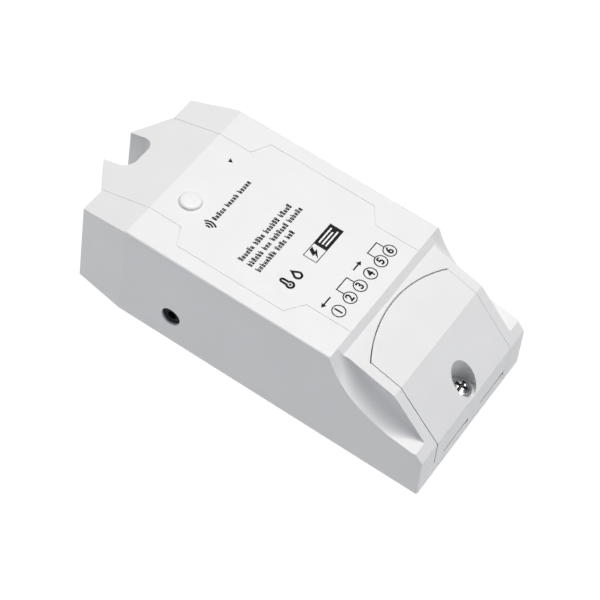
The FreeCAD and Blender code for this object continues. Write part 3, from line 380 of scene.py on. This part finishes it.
WAVE_PLACE = (-20.84, -11.96)
WAVE_RADII = (0.75, 1.55, 2.35)
WAVE_REACH = 48.0
WAVE_LINE = 0.5
TITLE_PLACE = (-20.2, -8.6)
TITLE_WORDS = (5, 5, 5)
TITLE_TALL = 1.55
TITLE_TALL_SHARE = 0.25
TITLE_SEED = 11


def add_title():
    """The waves and the row of strokes beside the button."""
    mark = Print(*WAVE_PLACE)
    for radius in WAVE_RADII:
        mark.ribbon(arc((0.0, 0.0), radius, -WAVE_REACH, WAVE_REACH), WAVE_LINE)
    mark.piece("print_waves")
    mark = Print(*TITLE_PLACE)
    greeked(mark, random.Random(TITLE_SEED), 0.0, TITLE_WORDS, TITLE_TALL, TITLE_TALL_SHARE)
    mark.piece("print_title")


LINES_PLACE = (-7.7, -15.0)
LINES_WORDS = ((0.0, (6, 4, 6, 5)), (-2.7, (6, 3, 7, 6)), (-5.3, (8, 4, 3)))
LINES_TALL = 1.6
LINES_TALL_SHARE = 0.5
LINES_SEED = 5


def add_lines():
    """The three rows of strokes in the middle."""
    draw = random.Random(LINES_SEED)
    mark = Print(*LINES_PLACE)
    for up, letters in LINES_WORDS:
        greeked(mark, draw, up, letters, LINES_TALL, LINES_TALL_SHARE)
    mark.piece("print_lines")


BLOCK_PLACE = (6.98, -3.6)
BLOCK_WIDE = 12.67
BLOCK_TALL = 3.9
BLOCK_LINE = 0.22
BOX_WIDE = 4.85
BOLT = ((1.35, 0.35), (3.75, 2.25), (2.75, 2.25), (3.65, 3.6), (2.35, 3.6), (1.2, 1.75), (2.15, 1.75))
BARS = ((0.75, 5.9), (1.75, 5.0), (2.75, 5.9))
BAR_INSET = 0.95
BAR_TALL = 0.45


def add_block():
    """An open box with a lightning bolt, and a filled box with three pale bars, side by side."""
    mark = Print(*BLOCK_PLACE)
    box = [(0, 0), (BOX_WIDE, 0), (BOX_WIDE, BLOCK_TALL), (0, BLOCK_TALL)]
    mark.ribbon(box, BLOCK_LINE, True)
    mark.plate(BOLT)
    edge = BLOCK_LINE / 2
    mark.bar(BOX_WIDE + edge, -edge, BLOCK_WIDE - BOX_WIDE, BLOCK_TALL + BLOCK_LINE)
    mark.piece("print_block")
    bars = Print(*BLOCK_PLACE, INK_HEIGHT * 2)
    for up, reach in BARS:
        bars.bar(BOX_WIDE + BAR_INSET, up, reach, BAR_TALL)
    bars.piece("print_block_bars", WHITE_INK)


PICTOGRAM_PLACE = (6.9, -14.7)
BULB = (1.25, 1.25)
BULB_RADIUS = 0.95
BULB_ARC = (122.0, 418.0)
MERCURY_RADIUS = 0.36
TUBE_TOP = (1.25, 3.55)
TUBE_RADIUS = 0.5
TUBE_LINE = 0.64
DROP = (4.95, 1.35)
DROP_RADIUS = 1.0
DROP_ARC = (-225.0, 45.0)
DROP_TIP = 1.9
DROP_LINE = 0.66
PICTOGRAM_STEPS = 28


def add_pictograms():
    """A thermometer and a drop."""
    mark = Print(*PICTOGRAM_PLACE)
    tube = arc(TUBE_TOP, TUBE_RADIUS, 0.0, 180.0)
    tube += arc(BULB, BULB_RADIUS, *BULB_ARC, PICTOGRAM_STEPS)
    mark.ribbon(tube, TUBE_LINE, True)
    mark.plate(circle(BULB, MERCURY_RADIUS, steps=24))
    drop = arc(DROP, DROP_RADIUS, *DROP_ARC, PICTOGRAM_STEPS)
    drop.append((DROP[0], DROP[1] + DROP_TIP * DROP_RADIUS))
    mark.ribbon(drop, DROP_LINE, True)
    mark.piece("print_pictograms")


MARK_ROW = 19.6
MARK_LANES = (-12.58, -7.37, -2.66, 2.25, 7.17, 11.43)
MARK_RADIUS = 1.76
BRACKETS = ((1, 2), (4, 5))
BRACKET_FOOT = MARK_RADIUS - 0.1
BRACKET_HIGH = 4.05


def add_terminal_marks():
    """Six rings, one to a terminal, with a bracket over the second and third and over the last two."""
    mark = Print(MARK_ROW, 0.0)
    for lane in MARK_LANES:
        mark.ribbon(circle((lane, 0.0), MARK_RADIUS), closed=True)
    for left, right in BRACKETS:
        start = MARK_LANES[left]
        end = MARK_LANES[right]
        mark.ribbon([(start, BRACKET_FOOT), (start, BRACKET_HIGH), (end, BRACKET_HIGH), (end, BRACKET_FOOT)])
    mark.piece("print_terminal_rings")


ARROW_ROW = 16.2
ARROW_UP = 0.6
ARROWS = ((-10.3, -4.2), (0.3, 3.7))
SHAFT_HALF = 0.2
HEAD_HALF = 0.75
HEAD_LONG = 1.3


def add_arrows():
    """Two arrows: out of the first group of terminals, and into the second."""
    mark = Print(ARROW_ROW, 0.0)
    for start, reach in ARROWS:
        way = math.copysign(1.0, reach)
        neck = start + reach - way * HEAD_LONG
        half = [(start, -SHAFT_HALF), (neck, -SHAFT_HALF), (neck, -HEAD_HALF), (start + reach, 0.0),
                (neck, HEAD_HALF), (neck, SHAFT_HALF), (start, SHAFT_HALF)]
        outline = [(across, ARROW_UP + up) for across, up in half]
        mark.plate(outline if way > 0 else outline[::-1])
    mark.piece("print_arrows")


NUMBER_TALL = 3.2
NUMBER_SWELL = 0.09
NUMBER_CURVE_STEPS = 4
NUMBER_WELD = 0.0001


def add_numbers():
    """The terminals' plain numbers in their rings."""
    joined = bmesh.new()
    for n, lane in enumerate(MARK_LANES):
        text = bpy.data.curves.new("number", "FONT")
        text.body = str(n + 1)
        text.size = NUMBER_TALL * MM
        text.align_x = "CENTER"
        text.align_y = "CENTER"
        text.extrude = INK_HEIGHT * MM
        text.offset = NUMBER_SWELL * MM
        text.resolution_u = NUMBER_CURVE_STEPS
        holder = bpy.data.objects.new("number", text)
        bpy.context.scene.collection.objects.link(holder)
        bpy.context.view_layer.update()
        depsgraph = bpy.context.evaluated_depsgraph_get()
        flat = bpy.data.meshes.new_from_object(holder.evaluated_get(depsgraph))
        turn = Matrix.Rotation(math.pi / 2, 4, "Z")
        flat.transform(Matrix.Translation((MARK_ROW * MM, lane * MM, TOP)) @ turn)
        joined.from_mesh(flat)
        bpy.data.objects.remove(holder)
        bpy.data.meshes.remove(flat)
    bmesh.ops.remove_doubles(joined, verts=joined.verts, dist=NUMBER_WELD * MM)
    data = bpy.data.meshes.new("print_terminal_numbers")
    joined.to_mesh(data)
    joined.free()
    add_piece("print_terminal_numbers", data, BLACK_INK, "case")


LIGHT_WEDGE = ((9.85, 27.79), (10.76, 29.08), (9.3, 28.94))


def add_light_mark():
    """A small wedge over the light's window."""
    mark = Print(0.0, 0.0)
    mark.plate(LIGHT_WEDGE)
    mark.piece("print_light_mark")


# Beads that lie in the seam round the inlaid cover and in the gap round the button, as the real
# parts are drawn close there. The plan runs along one half of the seam, as (x, y). Behind the crease
# the top slopes down to the notched end.
CREASE = -35.9
SLOPE = 6.3 / 21.1
BEAD_THICK = 0.6
SEAM_PLAN = ((-50.4, 15.7), (CREASE, 15.7), (-26.1, 15.7), (-23.5, 21.2), (8.7, 21.2), (12.2, 16.0),
             (25.4, 16.0))
SEAM_FILL = 0.17
SEAM_DEPTH = 0.11
SEAM_STEEP = 0.3
SEAM_END = 25.33
SEAM_END_DEPTH = 0.004
BUTTON_PLACE = (-28.9, -7.5)
BUTTON_RING = (3.156, 3.346)
BUTTON_DEPTH = 0.01


class Bead(Print):
    """A print let into the top: it follows the surface at a depth, down the notched end too."""

    def __init__(self, depth, x=0.0, y=0.0):
        super().__init__(x, y)
        self.lie(depth)

    def lie(self, depth):
        self.sink = (depth + BEAD_THICK, depth)

    def vert(self, point, level):
        across, up = point
        x = self.corner[0] - up
        y = self.corner[1] + across
        surface = TOP - max(0.0, CREASE - x) * SLOPE * MM
        return self.mesh.verts.new((x * MM, y * MM, surface - self.sink[level] * MM))


def add_beads():
    """The seam's two sides, its straight end at the step, and the ring round the button."""
    for side, name, flare_depth in ((-1.0, "near", SEAM_STEEP), (1.0, "far", SEAM_DEPTH)):
        bead = Bead(SEAM_DEPTH)
        path = [(side * y, -x) for x, y in SEAM_PLAN]
        bead.ribbon(path[:3], SEAM_FILL)
        bead.lie(flare_depth)
        bead.ribbon(path[2:4], SEAM_FILL)
        bead.lie(SEAM_DEPTH)
        bead.ribbon(path[3:], SEAM_FILL)
        bead.piece("seam_bead_" + name, finishes["case_white"], "case_white")
    bead = Bead(SEAM_END_DEPTH)
    half = SEAM_PLAN[-1][1]
    bead.ribbon([(-half, -SEAM_END), (half, -SEAM_END)], SEAM_FILL)
    bead.piece("seam_bead_end", finishes["case_white"], "case_white")
    bead = Bead(BUTTON_DEPTH, *BUTTON_PLACE)
    low, high = BUTTON_RING
    bead.ribbon(circle((0.0, 0.0), 0.5 * (low + high)), high - low, True)
    bead.piece("button_bead", finishes["cover_white"], "cover_white")


# Trim at the cable end. The surface over the terminals runs along the lid line, as (x, z): the top
# slope, the front slope and the end wall. Each groove bead has its side, its stretch of that line, its
# depth, half its width and its finish: the photograph shows the groove's line dark on the near end
# wall, and hardly any line below it or on the far end wall. The bead on the near end wall is black
# plastic, a dark strip painted as the shade in that groove; the other beads are white fillers.
LID_LINE = ((33.4, 28.42), (42.6, 25.9), (56.0, 12.9), (56.86, 1.9))
GROOVE_HEAD = (56.03, 12.5)
GROOVE_FOOT = (56.61, 5.1)
GROOVE_MIDDLE = 18.35
GROOVE_THICK = 0.5
GROOVE_BEADS = (("near", -1.0, LID_LINE[:3], 0.24, 0.13, "case_white"),
                # painted shade: this black bead stands in for the shadow in the groove on the near end wall
                ("near_end_painted_shade", -1.0, (GROOVE_HEAD, GROOVE_FOOT), 0.06, 0.17, "black_plastic"),
                ("near_foot", -1.0, (GROOVE_FOOT, LID_LINE[3]), 0.0, 0.19, "case_white"),
                ("far", 1.0, LID_LINE[:3], 0.05, 0.165, "case_white"),
                ("far_end", 1.0, LID_LINE[2:], 0.02, 0.183, "case_white"))
ARCH_MIDDLE = 63.4
ARCH_RADIUS = 35.5
ARCH_DEPTH = 0.55
ARCH_FILL = 0.13
ARCH_STEPS = 32
CABLE_WEBS = (("near", -13.5, -1.4), ("far", 4.9, 17.0))
WEB_LOW = 0.85
WEB_HIGH = 4.25
WEB_NICK = 1.3
WEB_NICK_HIGH = 3.55
WEB_NICK_EDGE = 0.2
WEB_WALL = 0.35
CROSS_PLACE = (51.8, 0.0)
CROSS_LEVELS = (12.62, 13.1)
CROSS_LONG = 1.76
CROSS_SHORT = 0.41


def loft(name, sections, material, body="case"):
    """A closed piece through like sections, each a ring of points in millimetres."""
    mesh = bmesh.new()
    rings = []
    for section in sections:
        rings.append([mesh.verts.new([value * MM for value in point]) for point in section])
    count = len(rings[0])
    for here, there in zip(rings, rings[1:]):
        for k in range(count):
            j = (k + 1) % count
            mesh.faces.new((here[k], there[k], there[j], here[j]))
    mesh.faces.new(rings[0])
    mesh.faces.new(rings[-1][::-1])
    bmesh.ops.recalc_face_normals(mesh, faces=mesh.faces)
    data = bpy.data.meshes.new(name)
    mesh.to_mesh(data)
    mesh.free()
    add_piece(name, data, material, body)


def sunk(line, depth):
    """The line moved inwards, square to itself, by a depth."""
    points = [Vector(point) for point in line]
    moved = []
    for n, point in enumerate(points):
        come = (point - points[n - 1]).normalized() if n else (points[1] - point).normalized()
        go = (points[n + 1] - point).normalized() if n < len(points) - 1 else come
        inward = Vector((come.y + go.y, -(come.x + go.x))).normalized()
        moved.append(point + inward * (depth / inward.dot(Vector((come.y, -come.x)))))
    return moved


def add_groove_beads():
    """Beads in the grooves along both sides of the terminal cover."""
    for name, side, line, depth, fill, slot in GROOVE_BEADS:
        low = side * GROOVE_MIDDLE - fill
        high = side * GROOVE_MIDDLE + fill
        sections = []
        for top, foot in zip(sunk(line, depth), sunk(line, depth + GROOVE_THICK)):
            corners = ((top, low), (top, high), (foot, high), (foot, low))
            sections.append([(place.x, y, place.y) for place, y in corners])
        loft("groove_bead_" + name, sections, finishes[slot])


def add_arch_bead():
    """A bead in the groove along the arched end of the terminal cover."""
    start = Vector(LID_LINE[0])
    end = Vector(LID_LINE[1])
    fall = (start.y - end.y) / (end.x - start.x)
    spread = math.degrees(math.asin(GROOVE_MIDDLE / ARCH_RADIUS))
    corners = ((ARCH_FILL, 0.0), (-ARCH_FILL, 0.0), (-ARCH_FILL, GROOVE_THICK), (ARCH_FILL, GROOVE_THICK))
    sections = []
    for n in range(ARCH_STEPS + 1):
        angle = math.radians(spread * (2.0 * n / ARCH_STEPS - 1.0))
        section = []
        for away, depth in corners:
            x = ARCH_MIDDLE - (ARCH_RADIUS + away) * math.cos(angle)
            z = start.y - (x - start.x) * fall - ARCH_DEPTH - depth
            section.append((x, (ARCH_RADIUS + away) * math.sin(angle), z))
        sections.append(section)
    loft("groove_bead_arch", sections, finishes["case_white"])


def add_cable_webs():
    """Thin webs that close the cable openings until a cable breaks them out, nicked at one corner."""
    brow = Vector(LID_LINE[2])
    foot = Vector(LID_LINE[3])
    lean = (foot.x - brow.x) / (brow.y - foot.y)
    for name, start, end in CABLE_WEBS:
        nick = end - WEB_NICK
        tops = ((start, WEB_HIGH), (nick, WEB_HIGH),
                (nick + WEB_NICK_EDGE, WEB_NICK_HIGH), (end, WEB_NICK_HIGH))
        sections = []
        for y, high in tops:
            outer = [(foot.x + (foot.y - z) * lean, z) for z in (WEB_LOW, high)]
            ring = outer + [(x - WEB_WALL, z) for x, z in outer[::-1]]
            sections.append([(x, y, z) for x, z in ring])
        loft("cable_web_" + name, sections, finishes["lid_white"])


def add_screw_cross():
    """A dark steel solid painted as the shade in the screw's cross recess: one corner and one arm, four
    times round.
    """
    quarter = [(CROSS_SHORT, CROSS_SHORT), (CROSS_SHORT, CROSS_LONG), (-CROSS_SHORT, CROSS_LONG)]
    plan = []
    for _ in range(4):
        plan += quarter
        quarter = [(-across, along) for along, across in quarter]
    x, y = CROSS_PLACE
    sections = [[(x + dx, y + dy, z) for dx, dy in plan] for z in CROSS_LEVELS]
    loft("screw_cross", sections, PAINTED_SHADE_STEEL, "lid_screw")


# Studio: a white floor, dim bluish air, a wide soft light overhead, a faint one from the cable end and
# a small one at the notched end of the near wall. Places and sizes are metres, and powers are watts.
FLOOR_REACH = 4.0
FLOOR_DROP = 0.1
FLOOR_GREY = (0.02, 0.02, 0.02)
AIR_LOW = (0.07, 0.085, 0.115, 1.0)
AIR_HIGH = (0.10, 0.12, 0.16, 1.0)
AIR_SPAN = (0.05, 0.4)
WHITE_LIGHT = (1.0, 1.0, 1.0)
LIGHTS = (("key", (-0.1, 0.32, 1.3), (0.0, 0.0, 0.0), 0.9, 20.2, (1.0, 0.977, 0.935)),
          ("fill", (1.2, 0.1, 0.3), (0.0, 0.0, 0.0), 0.6, 1.9, WHITE_LIGHT),
          ("side", (-0.22, -0.2, 0.06), (-0.05, -0.02, 0.015), 0.12, 0.042, WHITE_LIGHT))


def add_floor():
    """A white floor that shines evenly, so that it stays plain."""
    data = bpy.data.meshes.new("floor")
    corners = [(x * FLOOR_REACH, y * FLOOR_REACH, 0.0) for x, y in ((-1, -1), (1, -1), (1, 1), (-1, 1))]
    data.from_pydata(corners, [], [(0, 1, 2, 3)])
    floor = bpy.data.objects.new("floor", data)
    bpy.context.scene.collection.objects.link(floor)
    floor.location.z = -FLOOR_DROP * MM
    finish = Finish("floor", FLOOR_GREY, 0.9)
    finish.mottle(300.0, 0.03)
    finish.level("Emission Color", (1.0, 1.0, 1.0, 1.0))
    finish.level("Emission Strength", 1.0)
    finish.level("Specular IOR Level", 0.0)
    data.materials.append(finish.material)


def add_world():
    """Bluish air, a little darker towards the horizon."""
    world = bpy.data.worlds.new("studio")
    bpy.context.scene.world = world
    world.use_nodes = True
    tree = world.node_tree
    place = tree.nodes.new("ShaderNodeTexCoord").outputs["Generated"]
    split = tree.nodes.new("ShaderNodeSeparateXYZ")
    ramp = tree.nodes.new("ShaderNodeValToRGB")
    for element, height, colour in zip(ramp.color_ramp.elements, AIR_SPAN, (AIR_LOW, AIR_HIGH)):
        element.position = height
        element.color = colour
    back = tree.nodes["Background"]
    tree.links.new(place, split.inputs["Vector"])
    tree.links.new(split.outputs["Z"], ramp.inputs["Fac"])
    tree.links.new(ramp.outputs["Color"], back.inputs["Color"])
    back.inputs["Strength"].default_value = 1.0


def add_light(name, place, target, size, power, colour):
    data = bpy.data.lights.new(name, "AREA")
    data.shape = "SQUARE"
    data.size = size
    data.energy = power
    data.color = colour
    light = bpy.data.objects.new(name, data)
    bpy.context.scene.collection.objects.link(light)
    light.location = place
    light.rotation_euler = (Vector(target) - Vector(place)).to_track_quat("-Z", "Y").to_euler()


add_camera()
dress_nodes()
add_title()
add_lines()
add_block()
add_pictograms()
add_terminal_marks()
add_arrows()
add_numbers()
add_light_mark()
add_beads()
add_groove_beads()
add_arch_bead()
add_cable_webs()
add_screw_cross()
add_floor()
add_world()
for light in LIGHTS:
    add_light(*light)
bpy.context.scene.view_settings.view_transform = "Standard"
